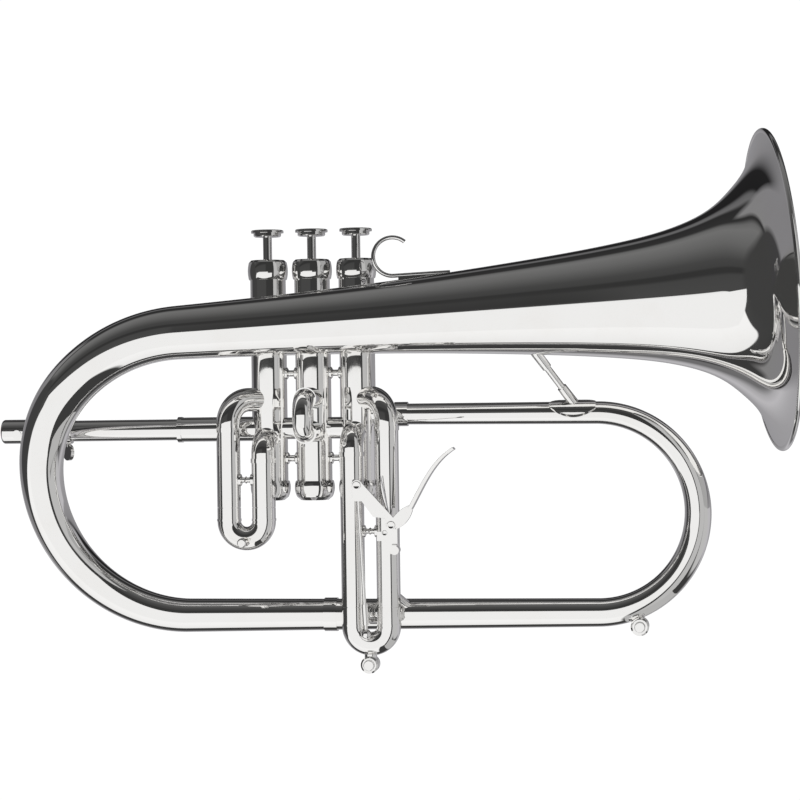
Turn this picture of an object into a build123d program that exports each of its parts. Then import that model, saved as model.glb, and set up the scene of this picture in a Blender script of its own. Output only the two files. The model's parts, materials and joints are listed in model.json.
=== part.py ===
from build123d import *
from math import atan, cos, pi, radians, sin
import os

# Flugelhorn in B flat. Millimetres. The origin is the axis of the middle valve at half the height of
# its casing, where the left hand grips the block. +X runs along the valve row towards the bell's
# mouth, +Z runs up the valves, and -Y is the side that shows the slides, the player's left.

# Valve block
VALVE_PITCH = 24.3
CASING_R = 9.65
CASING_BORE = 8.45
CASING_HALF = 60.0
CAP_R = 10.9
CAP_LIP_R = 10.3
TOP_CAP_LOW = 55.5
TOP_CAP_ROOF = 61.0
TOP_CAP_TOP = 66.1
BOTTOM_CAP_HIGH = -54.0
BOTTOM_CAP_FLOOR = -62.7
BOTTOM_CAP_LOW = -64.5
CAP_CORNER = 1.2
CAP_VENT_R = 1.6
PISTON_R = 8.40
PISTON_LOW = -41.0
PISTON_HIGH = 8.0
PORT_R = 5.25
PORT_DEPTH = 5.0
VALVE_STROKE = 12.4
STEM_R = 2.45
STEM_HOLE_R = 2.52
GUIDE_R = 8.2
GUIDE_THICK = 3.0
KEY_WIDTH = 1.8
KEY_R = 8.95
GROOVE_WIDTH = 2.2
GROOVE_R = 9.15
STOP_R = 6.0
STOP_LOW = 55.9
STOP_HIGH = 58.2
FELT_R = 7.5
FELT_LOW = 58.5
BUTTON_LOW = 78.9
BUTTON_STEP = 81.0
BUTTON_TOP = 82.5
BUTTON_STEP_R = 7.5
BUTTON_R = 8.85
SPRING_R = 6.6
SPRING_WIRE_R = 0.5
SPRING_TURNS = 6

# Levels of the ports in the casings
UPPER_PORT_Z = -9.6
LEADPIPE_Z = -25.5
EXIT_Z = -18.5
SLIDE_1_LOWER_Z = -31.3
SLIDE_2_LOWER_Z = -27.5
SLIDE_3_LOWER_Z = -28.3

# First and third slides, which hang in front of the block
SLIDE_Y = -17.4
LEG_GAP = 19.0
SLIDE_R = 6.35
SLIDE_BORE = 5.75
INNER_R = 5.70
INNER_BORE = 5.25
FERRULE_EXTRA = 0.45
FERRULE_LENGTH = 2.4
SLIP = 0.3
UPPER_BEND = 13.0
LOWER_BEND = 8.0
SLIDE_1_X = -34.6
SLIDE_1_LEG_END = -67.4
SLIDE_1_BOW_Z = -74.8
SLIDE_1_INNER_TOP = -44.0
SLIDE_1_STAY_Z = -52.8
SLIDE_3_X = 32.4
SLIDE_3_LEG_END = -121.0
SLIDE_3_BOW_Z = -131.4
SLIDE_3_INNER_TOP = -62.0
SLIDE_3_STAY_Z = -80.8
FOOT_TOP_Z = -115.0
FOOT_DIRECTION = (6.5, 13.0, -8.0)
FOOT_R = 2.4
FOOT_LENGTH = 15.0

# Second slide, which points forward
SLIDE_2_R = 6.1
SLIDE_2_BORE = 5.45
SLIDE_2_INNER_R = 5.40
SLIDE_2_INNER_BORE = 4.95
SLIDE_2_LEG_END_Y = -24.0
SLIDE_2_BOW_Y = -30.0
SLIDE_2_INNER_Y = -13.0

# Leadpipe, its receiver and its sleeve
PIPE_R = 5.75
PIPE_BORE = 4.5
SLEEVE_R = 6.65
SLEEVE_BORE = 5.80
SLEEVE_LEFT_X = -75.0
PIPE_LEFT_X = -150.0
PIPE_RIGHT_X = -45.0
RECEIVER_LEFT_X = -173.9
RECEIVER_RIGHT_X = -147.5
RECEIVER_BORE = 4.9
BOSS_X = -164.4
BOSS_Z = LEADPIPE_Z - 1.6
BOSS_R = 2.5
BOSS_OUT = 0.35
BOSS_DEPTH = 1.2
CLAMP_X = -137.0
CLAMP_WIDTH = 4.4
CLAMP_R = 6.9
CLAMP_SCREW_R = 1.5
THUMB_R = 4.5
THUMB_THICK = 2.0
THUMB_Z = -37.2
THUMB_GRIP = 3.0
THUMB_SCREW_TIP_Z = LEADPIPE_Z - SLEEVE_BORE - 0.1

# Main tubing after the valves
EXIT_LEFT_X = 44.4
EXIT_RIGHT_X = 51.6
EXIT_FERRULE_R = 6.6
UPPER_TUBE_R = 5.65
BOW_X = 153.0
BOW_TOP_Z = -19.1
BOW_BOTTOM_Z = -126.2
BOW_IN_R = 6.05
BOW_MID_R = 7.15
BOW_OUT_R = 7.65
BOW_QUARTER = 6
FERRULE_LEFT_X = 4.8
FERRULE_RIGHT_X = 11.8
FERRULE_R = 9.1
TUBE_AT_FERRULE_R = 8.45
TUBE_WALL = 0.6

# Bell: a straight axis from the rim back to the start of the bell bow
BELL_MOUTH = Vector(246.5, 0.46, 44.8)
BELL_SLOPE_Y = 0.1317
BELL_SLOPE_Z = 0.0587
BELL_DIRECTION = Vector(1, BELL_SLOPE_Y, BELL_SLOPE_Z).normalized()
BELL_TAIL_X = -65.6
BELL_LENGTH = (BELL_MOUTH.X - BELL_TAIL_X) / BELL_DIRECTION.X
BELL_TAIL_R = 14.25
BELL_WALL = 0.7
BELL_LIP_R = 83.4
# The wall is measured square to the bell's side: along the axis near the lip, outwards further back
LIP_WALL = 0.63
LIP_DEPTH = 30.0
LIP_FADE = 12.0
# Distance back from the mouth, and radius there
BELL_OUTLINE = [(1.1, BELL_LIP_R), (4.6, 73.6), (9.5, 64.3), (16.5, 56.2), (27.0, 47.0), (48.0, 37.4),
                (80.0, 30.8), (134.0, 24.7), (197.0, 19.6), (255.0, 16.4), (BELL_LENGTH, BELL_TAIL_R)]
RIM_R = 85.8
RIM_HALF = 1.2

# Bell bow: four arcs, given as (turn reached in degrees, radius of the arc in side view)
BOW_ARCS = [(48, 89.2), (90, 71.6), (135, 77.1), (180, 74.3)]
BOW_END_R = 9.15
BOW_STEP = 12

# Stay between the bell and the upper tube
STAY_BELL = Vector(121.8, -15.4, 13.6)
STAY_TUBE = Vector(141.2, -2.2, -13.6)
STAY_ROD_R = 1.9
STAY_SOCKET_R = 2.85
STAY_SOCKET_TIP_R = 2.6
STAY_SOCKET_LENGTH = 11.0
SADDLE_HALF = (13.2, 5.5)
SADDLE_THICK = 1.0
SADDLE_DIRECTION = (0, -0.72, 0.70)

# Finger hook on top of the bell, in the upright plane through the bell's axis
HOOK_X = 47.4
HOOK_Z = 65.2
HOOK_R = 10.2
HOOK_WIRE_R = 1.1
HOOK_TIP_ANGLE = 50
HOOK_FOOT_ANGLE = 273
HOOK_FOOT_LENGTH = 30.0
HOOK_WEB_LENGTH = 24.0
HOOK_WEB_TALL = 4.0
HOOK_WEB_HALF = 0.9

# Trigger of the third slide
PIVOT_X = 45.1
PIVOT_Z = -77.1
ARM_X = 26.9
ARM_Z = -55.8
TRIGGER_FRONT_Y = -28.2
TRIGGER_BACK_Y = -26.4
TRIGGER_BOSS_R = 2.9
PIVOT_PIN_R = 1.2
PIVOT_HOLE_R = 1.28
SPOON_WIDTH = 9.0
BRACKET_FRONT_Y = -26.1
BRACKET_WIDTH = 6.0
BRACKET_LENGTH = 10.0
BRACKET_ARM_X = 5.0
BRACKET_ARM_Z = 6.0
BRACKET_ARM_TALL = 5.0
HOOK_TAB_R = 2.4
HOOK_TAB_Z = 13.6
HOOK_TAB_NECK_Z = 10.5
HOOK_TAB_TALL = 3.3
PIN_DEPTH = 2.4
TRIGGER_SPRING_Y = -25.0
TRIGGER_WIRE_R = 0.35
WIRE_TOP_X = 5.8
WIRE_TOP_Z = 26.0
WIRE_FOOT_X = 1.0
WIRE_FOOT_Z = 3.0
ROD_R = 0.95
ROD_END_X = 30.6
ROD_END_Z = -135.2
ROD_EYE_OUTER_R = 2.3
ADJUSTER_R = 1.7
ROD_BALL_R = 2.7
ROD_EYE_R = 1.7
ROD_EYE_HALF = 1.0
ROD_STUD_R = 0.9
ROD_Y = -25.1
SCREW_GAP = 0.3
SCREW_HEAD_R = 2.2
SCREW_HEAD_THICK = 0.9
SCREW_SLOT = (4.8, 0.6)
SCREW_SLOT_DEPTH = 0.5
PIN_SLOT_DIRECTION = (0.8, 0, 0.6)

# Press-button water keys
BOW_KEY_R = 4.9
SLIDE_KEY_R = 4.65
KEY_BODY_HALF = 5.6
KEY_NECK_R = 3.3
KEY_BUTTON_R = 2.85
KEY_BUTTON_OUT = 2.4
KEY_BORE_R = 2.93
SLIDE_KEY = Vector(31.6, SLIDE_Y, -151.9)
BOW_KEY = Vector(174.9, 0.0, -133.6)
BOW_KEY_NECK = Vector(173.2, 0.0, -124.0)


def save(piece, label):
    piece.part.label = label
    export_step(piece.part, f"parts/{label}.step")


def bell_point(x):
    """Point of the bell's axis at a given x."""
    return BELL_MOUTH - BELL_DIRECTION * ((BELL_MOUTH.X - x) / BELL_DIRECTION.X)


def bar(start, end, radius, bore=0.0):
    """Round bar, or tube, between two points."""
    start, end = Vector(start), Vector(end)
    with BuildPart() as piece:
        with BuildSketch(Plane(origin=start, z_dir=end - start)):
            Circle(radius)
            if bore:
                Circle(bore, mode=Mode.SUBTRACT)
        extrude(amount=(end - start).length)
    return piece


def tapered_rod(planes, radii):
    """Solid through a row of circular sections."""
    with BuildPart() as piece:
        for plane, radius in zip(planes, radii):
            with BuildSketch(plane):
                Circle(radius)
        loft()
    return piece


def tapered_tube(planes, radii, wall):
    """Tube through a row of circular sections, with a wall of even thickness."""
    with BuildPart() as piece:
        for plane, radius in zip(planes, radii):
            with BuildSketch(plane):
                Circle(radius)
        loft()
        for plane, radius in zip(planes, radii):
            with BuildSketch(plane):
                Circle(radius - wall)
        loft(mode=Mode.SUBTRACT)
    return piece


# ---------------------------------------------------------------- valves

def make_casing(x, ports):
    """Valve casing with a guide groove and one hole per port, given as (level, direction)."""
    with BuildPart() as casing:
        with BuildSketch(Plane.XY.offset(-CASING_HALF)):
            with Locations((x, 0)):
                Circle(CASING_R)
                Circle(CASING_BORE, mode=Mode.SUBTRACT)
        extrude(amount=2 * CASING_HALF)
        with BuildSketch(Plane.XY.offset(PISTON_HIGH - VALVE_STROKE - 1)):
            with Locations((x, GROOVE_R / 2)):
                Rectangle(GROOVE_WIDTH, GROOVE_R)
        extrude(amount=CASING_HALF - PISTON_HIGH + VALVE_STROKE + 1, mode=Mode.SUBTRACT)
        for level, direction in ports:
            with BuildSketch(Plane(origin=(x, 0, level), z_dir=direction)):
                Circle(PORT_R)
            extrude(amount=2 * CASING_R, mode=Mode.SUBTRACT)
    return casing


def make_top_cap(x):
    with BuildPart() as cap:
        with BuildSketch(Plane(origin=(x, 0, 0), x_dir=(1, 0, 0), z_dir=(0, -1, 0))):
            with BuildLine():
                Polyline((CAP_LIP_R, TOP_CAP_LOW), (CASING_R, TOP_CAP_LOW), (CASING_R, TOP_CAP_ROOF),
                         (STEM_HOLE_R, TOP_CAP_ROOF), (STEM_HOLE_R, TOP_CAP_TOP),
                         (CAP_LIP_R - CAP_CORNER, TOP_CAP_TOP), (CAP_LIP_R, TOP_CAP_TOP - CAP_CORNER))
                ThreePointArc((CAP_LIP_R, TOP_CAP_TOP - CAP_CORNER), (CAP_R, TOP_CAP_ROOF),
                              (CAP_LIP_R, TOP_CAP_LOW))
            make_face()
        revolve(axis=Axis((x, 0, 0), (0, 0, 1)))
    return cap


def make_bottom_cap(x):
    with BuildPart() as cap:
        with BuildSketch(Plane(origin=(x, 0, 0), x_dir=(1, 0, 0), z_dir=(0, -1, 0))):
            with BuildLine():
                Polyline((CAP_LIP_R, BOTTOM_CAP_HIGH), (CASING_R, BOTTOM_CAP_HIGH),
                         (CASING_R, -CASING_HALF), (CASING_BORE, -CASING_HALF),
                         (CASING_BORE, BOTTOM_CAP_FLOOR), (CAP_VENT_R, BOTTOM_CAP_FLOOR),
                         (CAP_VENT_R, BOTTOM_CAP_LOW), (CASING_BORE - 1, BOTTOM_CAP_LOW),
                         (CASING_R, BOTTOM_CAP_FLOOR))
                ThreePointArc((CASING_R, BOTTOM_CAP_FLOOR), (CAP_R, -58.0),
                              (CAP_LIP_R, BOTTOM_CAP_HIGH))
            make_face()
        revolve(axis=Axis((x, 0, 0), (0, 0, 1)))
    return cap


def make_piston(x):
    """Piston with its ports; the pockets stand for the mouths of the air passages."""
    ports = [(LEADPIPE_Z, (-1, 0, 0)), (LEADPIPE_Z, (1, 0, 0)), (UPPER_PORT_Z, (0, -1, 0)),
             (UPPER_PORT_Z, (0, 1, 0)), (SLIDE_2_LOWER_Z, (0, -1, 0))]
    with BuildPart() as piston:
        with BuildSketch(Plane.XY.offset(PISTON_LOW)):
            with Locations((x, 0)):
                Circle(PISTON_R)
        extrude(amount=PISTON_HIGH - PISTON_LOW)
        for level, direction in ports:
            mouth = Vector(x, 0, level) + Vector(direction) * (PISTON_R - PORT_DEPTH)
            with BuildSketch(Plane(origin=mouth, z_dir=direction)):
                Circle(PORT_R - 1)
            extrude(amount=PORT_DEPTH + 1, mode=Mode.SUBTRACT)
    return piston


def make_stem(x):
    """Valve stem with its guide, whose key runs in the casing's groove, and its stop collar."""
    with BuildPart() as stem:
        with BuildSketch(Plane.XY.offset(PISTON_HIGH)):
            with Locations((x, 0)):
                Circle(GUIDE_R)
            with Locations((x, KEY_R / 2)):
                Rectangle(KEY_WIDTH, KEY_R)
        extrude(amount=GUIDE_THICK)
        with BuildSketch(Plane.XY.offset(PISTON_HIGH)):
            with Locations((x, 0)):
                Circle(STEM_R)
        extrude(amount=BUTTON_LOW - PISTON_HIGH)
        with BuildSketch(Plane.XY.offset(STOP_LOW)):
            with Locations((x, 0)):
                Circle(STOP_R)
        extrude(amount=STOP_HIGH - STOP_LOW)
    return stem


def make_button(x):
    with BuildPart() as button:
        with BuildSketch(Plane.XY.offset(BUTTON_LOW)):
            with Locations((x, 0)):
                Circle(BUTTON_STEP_R)
        extrude(amount=BUTTON_STEP - BUTTON_LOW)
        with BuildSketch(Plane.XY.offset(BUTTON_STEP)):
            with Locations((x, 0)):
                Circle(BUTTON_R)
        extrude(amount=BUTTON_TOP - BUTTON_STEP)
        fillet(button.edges().group_by(Axis.Z)[-1], radius=0.6)
        chamfer(button.edges().group_by(Axis.Z)[0], length=0.5)
    return button


def make_spring(x):
    """Coil spring between the bottom cap and the piston."""
    low = BOTTOM_CAP_FLOOR + SPRING_WIRE_R + 0.05
    height = PISTON_LOW - low - SPRING_WIRE_R - 0.05
    with BuildPart() as spring:
        with BuildLine(Plane(origin=(x, 0, low))) as coil:
            Helix(pitch=height / SPRING_TURNS, height=height, radius=SPRING_R)
        with BuildSketch(Plane(origin=coil.line @ 0, z_dir=coil.line % 0)):
            Circle(SPRING_WIRE_R)
        sweep()
    return spring


# ---------------------------------------------------------------- bell

def make_bell():
    """Bell from the lip back to the start of the bow, turned about its own straight axis."""
    half = Plane(origin=BELL_MOUTH, x_dir=-BELL_DIRECTION, z_dir=BELL_DIRECTION.cross(Vector(0, 0, 1)))
    inner = [(back - LIP_WALL * max(0, 1 - back / LIP_DEPTH), radius - BELL_WALL * min(1, back / LIP_FADE))
             for back, radius in BELL_OUTLINE]
    with BuildPart() as bell:
        with BuildSketch(half):
            with BuildLine():
                Spline(*BELL_OUTLINE)
                Line(BELL_OUTLINE[-1], inner[-1])
                Spline(*inner)
                Line(inner[0], BELL_OUTLINE[0])
            make_face()
        revolve(axis=Axis(BELL_MOUTH, BELL_DIRECTION))
    return bell


def make_bell_rim():
    """Bead round the bell's lip."""
    half = Plane(origin=BELL_MOUTH, x_dir=-BELL_DIRECTION, z_dir=BELL_DIRECTION.cross(Vector(0, 0, 1)))
    with BuildPart() as rim:
        with BuildSketch(half):
            with BuildLine():
                ThreePointArc((-RIM_HALF, BELL_LIP_R), (0, RIM_R), (RIM_HALF, BELL_LIP_R))
                Line((RIM_HALF, BELL_LIP_R), (-RIM_HALF, BELL_LIP_R))
            make_face()
        revolve(axis=Axis(BELL_MOUTH, BELL_DIRECTION))
    return rim


def bow_stations():
    """Centres, directions and radii along the bell bow, from the bell's tail to the bottom tube.

    In side view the centre line is four arcs. Across them it swings back from the bell's side of the
    block to the plane of the bottom tube, by a cubic that leaves the bell along the bell's axis.
    """
    start_turn = atan(BELL_SLOPE_Z)
    tail = bell_point(BELL_TAIL_X)
    turns, places, x, z, turn = [start_turn], [(tail.X, tail.Z)], tail.X, tail.Z, start_turn
    for reached, radius in BOW_ARCS:
        steps = max(2, round((radians(reached) - turn) / radians(BOW_STEP)))
        for step in range(1, steps + 1):
            now = turn + (radians(reached) - turn) * step / steps
            places.append((x + radius * (sin(turn) - sin(now)), z + radius * (cos(now) - cos(turn))))
            turns.append(now)
        turn = turns[-1]
        x, z = places[-1]
    swing = -BELL_SLOPE_Y * BOW_ARCS[0][1] * (pi - start_turn)
    stations = []
    for (x, z), turn in zip(places, turns):
        t = (turn - start_turn) / (pi - start_turn)
        y = tail.Y * (2 * t ** 3 - 3 * t ** 2 + 1) + swing * (t ** 3 - 2 * t ** 2 + t)
        slide = tail.Y * (6 * t ** 2 - 6 * t) + swing * (3 * t ** 2 - 4 * t + 1)
        arc = next(radius for reached, radius in BOW_ARCS if turn <= radians(reached) + 1e-6)
        side = slide / (pi - start_turn) / arc
        heading = Vector(-cos(turn), side, -sin(turn)) if t else -BELL_DIRECTION
        stations.append((Vector(x, y, z), heading, BELL_TAIL_R + (BOW_END_R - BELL_TAIL_R) * t ** 0.94))
    return stations


def bow_sections():
    """Planes and radii round the bell bow."""
    planes = [Plane(origin=place, x_dir=heading.cross(Vector(0, 1, 0)).cross(heading), z_dir=heading)
              for place, heading, radius in STATIONS]
    return planes, [radius for place, heading, radius in STATIONS]


def make_bell_bow():
    """Bell bow and its straight leg up to the ferrule on the bottom tube."""
    planes, radii = bow_sections()
    end = STATIONS[-1][0]
    middle_x = (FERRULE_LEFT_X + FERRULE_RIGHT_X) / 2
    leg_end = Plane(origin=(middle_x, 0, bottom_z(middle_x)), z_dir=(1, 0, 0))
    leg_start = Plane(origin=end, z_dir=(1, 0, 0))
    with BuildPart() as bow:
        for plane, radius in zip(planes, radii):
            with BuildSketch(plane):
                Circle(radius)
        loft()
        for plane, radius in ((leg_start, BOW_END_R), (leg_end, TUBE_AT_FERRULE_R)):
            with BuildSketch(plane):
                Circle(radius)
        loft()
        for plane, radius in zip(planes, radii):
            with BuildSketch(plane):
                Circle(radius - BELL_WALL)
        loft(mode=Mode.SUBTRACT)
        for plane, radius in ((leg_start, BOW_END_R), (leg_end, TUBE_AT_FERRULE_R)):
            with BuildSketch(plane):
                Circle(radius - BELL_WALL)
        loft(mode=Mode.SUBTRACT)
    return bow


def bottom_z(x):
    """Level of the bottom tube's axis, which falls slightly towards the bell bow."""
    low = STATIONS[-1][0]
    return low.Z + (BOW_BOTTOM_Z - low.Z) * (x - low.X) / (BOW_X - low.X)


def upper_z(x):
    """Level of the upper tube's axis."""
    return EXIT_Z + (BOW_TOP_Z - EXIT_Z) * (x - EXIT_LEFT_X) / (BOW_X - EXIT_LEFT_X)


def right_bow_sections():
    """Planes and radii round the right bow, whose bore grows from the upper to the bottom tube."""
    middle_z = (BOW_TOP_Z + BOW_BOTTOM_Z) / 2
    radius = (BOW_TOP_Z - BOW_BOTTOM_Z) / 2
    planes, radii = [], []
    for step in range(2 * BOW_QUARTER + 1):
        turn = pi / 2 * step / BOW_QUARTER
        share = step / BOW_QUARTER
        if share < 1:
            radii.append(BOW_IN_R + (BOW_MID_R - BOW_IN_R) * share)
        else:
            radii.append(BOW_MID_R + (BOW_OUT_R - BOW_MID_R) * (share - 1))
        planes.append(Plane(origin=(BOW_X + radius * sin(turn), 0, middle_z + radius * cos(turn)),
                            x_dir=(0, 1, 0), z_dir=(cos(turn), 0, -sin(turn))))
    return planes, radii


def cone_tube(start, end, start_radius, end_radius):
    """Straight tube along X with an even taper."""
    planes = [Plane(origin=place, x_dir=(0, 1, 0), z_dir=(1, 0, 0)) for place in (start, end)]
    return tapered_tube(planes, (start_radius, end_radius), TUBE_WALL)


# ---------------------------------------------------------------- slides

def make_outer_leg(valve_x, port_z, leg_x, bend, leg_end):
    """Knuckle from a casing's port, the slide leg below it and the ferrule where they meet."""
    with BuildPart() as leg:
        with BuildLine() as route:
            FilletPolyline((valve_x, 0, port_z), (leg_x, SLIDE_Y, port_z), (leg_x, SLIDE_Y, leg_end),
                           radius=bend)
        with BuildSketch(Plane(origin=route.line @ 0, z_dir=route.line % 0)):
            Circle(SLIDE_R)
            Circle(SLIDE_BORE, mode=Mode.SUBTRACT)
        sweep()
        with BuildSketch(Plane.XY.offset(port_z - bend - FERRULE_LENGTH - 2)):
            with Locations((leg_x, SLIDE_Y)):
                Circle(SLIDE_R + FERRULE_EXTRA)
                Circle(SLIDE_BORE, mode=Mode.SUBTRACT)
        extrude(amount=FERRULE_LENGTH)
        with BuildSketch(Plane.XY.offset(port_z - 3 * SLIDE_R)):
            with Locations((valve_x, 0)):
                Circle(CASING_R)
        extrude(amount=6 * SLIDE_R, mode=Mode.SUBTRACT)
    return leg


def make_slide_bow(centre_x, leg_end, bow_z, inner_top):
    """Moving slide: two inner tubes, and the U of sleeves and bow that joins them."""
    left_x, right_x = centre_x - LEG_GAP / 2, centre_x + LEG_GAP / 2
    sleeve_top = leg_end - SLIP
    with BuildPart() as bow:
        with BuildLine() as route:
            Line((left_x, SLIDE_Y, sleeve_top), (left_x, SLIDE_Y, bow_z))
            ThreePointArc((left_x, SLIDE_Y, bow_z), (centre_x, SLIDE_Y, bow_z - LEG_GAP / 2),
                          (right_x, SLIDE_Y, bow_z))
            Line((right_x, SLIDE_Y, bow_z), (right_x, SLIDE_Y, sleeve_top))
        with BuildSketch(Plane(origin=(left_x, SLIDE_Y, sleeve_top), z_dir=(0, 0, -1))):
            Circle(SLIDE_R)
            Circle(INNER_BORE, mode=Mode.SUBTRACT)
        sweep()
        for low, high, radius in ((sleeve_top, inner_top, INNER_R),
                                  (bow_z, bow_z + FERRULE_LENGTH / 2, SLIDE_R + 0.25)):
            with BuildSketch(Plane.XY.offset(low)):
                with Locations((left_x, SLIDE_Y), (right_x, SLIDE_Y)):
                    Circle(radius)
                    Circle(INNER_BORE, mode=Mode.SUBTRACT)
            extrude(amount=high - low)
    return bow


def make_bow_filling(centre_x, bow_z):
    """Filled shape of a slide's bow, to cut what is soldered to it."""
    with BuildPart() as filling:
        with BuildSketch(Plane.XY.offset(bow_z)):
            with Locations((centre_x - LEG_GAP / 2, SLIDE_Y)):
                Circle(SLIDE_R)
        revolve(axis=Axis((centre_x, SLIDE_Y, bow_z), (0, -1, 0)), revolution_arc=180)
    return filling


def make_slide_stay(centre_x, level):
    """Turned stay between the two outer legs of a slide."""
    reach = LEG_GAP / 2
    clear = reach - SLIDE_R
    outline = [(-reach, 0), (-reach, 3.2), (-clear + 0.5, 3.2), (-clear + 1.2, 1.5), (-0.9, 1.3),
               (0, 2.0), (0.9, 1.3), (clear - 1.2, 1.5), (clear - 0.5, 3.2), (reach, 3.2), (reach, 0)]
    with BuildPart() as stay:
        with BuildSketch(Plane(origin=(centre_x, SLIDE_Y, level), x_dir=(1, 0, 0), z_dir=(0, -1, 0))):
            with BuildLine():
                Polyline(*outline, close=True)
            make_face()
        revolve(axis=Axis((centre_x, SLIDE_Y, level), (1, 0, 0)))
        with BuildSketch(Plane.XY.offset(level - 5)):
            with Locations((centre_x - reach, SLIDE_Y), (centre_x + reach, SLIDE_Y)):
                Circle(SLIDE_R)
        extrude(amount=10, mode=Mode.SUBTRACT)
    return stay


def make_slide_2_outer():
    with BuildPart() as outer:
        for level in (UPPER_PORT_Z, SLIDE_2_LOWER_Z):
            with BuildSketch(Plane(origin=(0, 0, level), z_dir=(0, -1, 0))):
                Circle(SLIDE_2_R)
                Circle(SLIDE_2_BORE, mode=Mode.SUBTRACT)
            extrude(amount=-SLIDE_2_LEG_END_Y)
        with BuildSketch(Plane.XY.offset(SLIDE_2_LOWER_Z - 2 * SLIDE_2_R)):
            Circle(CASING_R)
        extrude(amount=UPPER_PORT_Z - SLIDE_2_LOWER_Z + 4 * SLIDE_2_R, mode=Mode.SUBTRACT)
    return outer


def make_slide_2_bow():
    middle_z = (UPPER_PORT_Z + SLIDE_2_LOWER_Z) / 2
    with BuildPart() as bow:
        for level in (UPPER_PORT_Z, SLIDE_2_LOWER_Z):
            for first, last, radius in ((SLIDE_2_INNER_Y, SLIDE_2_BOW_Y, SLIDE_2_INNER_R),
                                        (SLIDE_2_LEG_END_Y - SLIP, SLIDE_2_BOW_Y, SLIDE_2_R)):
                with BuildSketch(Plane(origin=(0, first, level), z_dir=(0, -1, 0))):
                    Circle(radius)
                    Circle(SLIDE_2_INNER_BORE, mode=Mode.SUBTRACT)
                extrude(amount=first - last)
        with BuildSketch(Plane(origin=(0, SLIDE_2_BOW_Y, UPPER_PORT_Z), z_dir=(0, -1, 0))):
            Circle(SLIDE_2_INNER_R)
            Circle(SLIDE_2_INNER_BORE, mode=Mode.SUBTRACT)
        revolve(axis=Axis((0, SLIDE_2_BOW_Y, middle_z), (1, 0, 0)), revolution_arc=180)
    return bow


# ---------------------------------------------------------------- trigger and water keys

def make_key_body(centre, radius, neck_top, bow_filling):
    """Barrel of a press-button water key, with the neck that joins it to its bow."""
    half, lip = KEY_BODY_HALF, radius - 0.9
    outline = [(-half, 0), (-half, lip), (-half + 0.8, radius), (-1.6, radius), (-1.1, lip + 0.3),
               (1.1, lip + 0.3), (1.6, radius), (half - 0.8, radius), (half, lip), (half, 0)]
    with BuildPart() as body:
        with BuildSketch(Plane(origin=centre, x_dir=(0, 1, 0), z_dir=(1, 0, 0))):
            with BuildLine():
                Polyline(*outline, close=True)
            make_face()
        revolve(axis=Axis(centre, (0, 1, 0)))
        with BuildSketch(Plane(origin=centre, z_dir=neck_top - centre)):
            Circle(KEY_NECK_R)
        extrude(amount=(neck_top - centre).length)
        with BuildSketch(Plane(origin=centre - Vector(0, half, 0), z_dir=(0, 1, 0))):
            Circle(KEY_BORE_R)
        extrude(amount=2 * half - 1.5, mode=Mode.SUBTRACT)
        add(bow_filling.part, mode=Mode.SUBTRACT)
    return body


def make_key_button(centre):
    """Spring button of a water key, which slides in the barrel."""
    front = centre.Y - KEY_BODY_HALF - KEY_BUTTON_OUT
    with BuildPart() as button:
        with BuildSketch(Plane(origin=(centre.X, front, centre.Z), z_dir=(0, 1, 0))):
            Circle(KEY_BUTTON_R)
        extrude(amount=KEY_BUTTON_OUT + 5.0)
        fillet(button.edges().group_by(Axis.Y)[0], radius=0.5)
    return button


def make_trigger_lever():
    """Bell-crank of the trigger: arm plate, lens plate and curved finger spoon."""
    thick = TRIGGER_BACK_Y - TRIGGER_FRONT_Y
    plate = Plane(origin=(PIVOT_X, TRIGGER_BACK_Y, PIVOT_Z), x_dir=(1, 0, 0), z_dir=(0, -1, 0))
    spoon = Plane(origin=(PIVOT_X, TRIGGER_BACK_Y + (SPOON_WIDTH - thick) / 2, PIVOT_Z),
                  x_dir=(1, 0, 0), z_dir=(0, -1, 0))
    arm = (ARM_X - PIVOT_X, ARM_Z - PIVOT_Z)
    with BuildPart() as lever:
        with BuildSketch(plate):
            with BuildLine():
                Polyline((arm[0] - 2.6, arm[1] - 0.5), (arm[0] + 1.9, arm[1] + 2.1), (1.6, 3.6),
                         (1.0, -2.6), (-2.0, -0.4), (-3.2, 3.6), (-9.6, 4.4),
                         (arm[0] + 2.6, arm[1] - 8.6), (arm[0] - 2.4, arm[1] - 8.4), close=True)
            make_face()
            with Locations(arm, (0, 0)):
                Circle(TRIGGER_BOSS_R)
        extrude(amount=thick)
        with BuildSketch(plate):
            with BuildLine():
                ThreePointArc((0, 2.4), (5.0, 8.0), (12.0, 11.2))
                ThreePointArc((12.0, 11.2), (9.6, 3.4), (3.4, -2.0))
                Line((3.4, -2.0), (0, 2.4))
            make_face()
        extrude(amount=thick)
        with BuildSketch(spoon):
            with BuildLine():
                Spline((9.4, 9.2), (16.0, 21.2), (24.0, 33.0), (33.4, 41.0))
                Line((33.4, 41.0), (34.4, 39.8))
                Spline((34.4, 39.8), (25.4, 31.8), (17.8, 20.2), (11.4, 8.4))
                Line((11.4, 8.4), (9.4, 9.2))
            make_face()
        extrude(amount=SPOON_WIDTH)
        with BuildSketch(plate):
            with Locations(arm, (0, 0)):
                Circle(PIVOT_HOLE_R)
        extrude(amount=thick, mode=Mode.SUBTRACT)
    return lever


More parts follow.
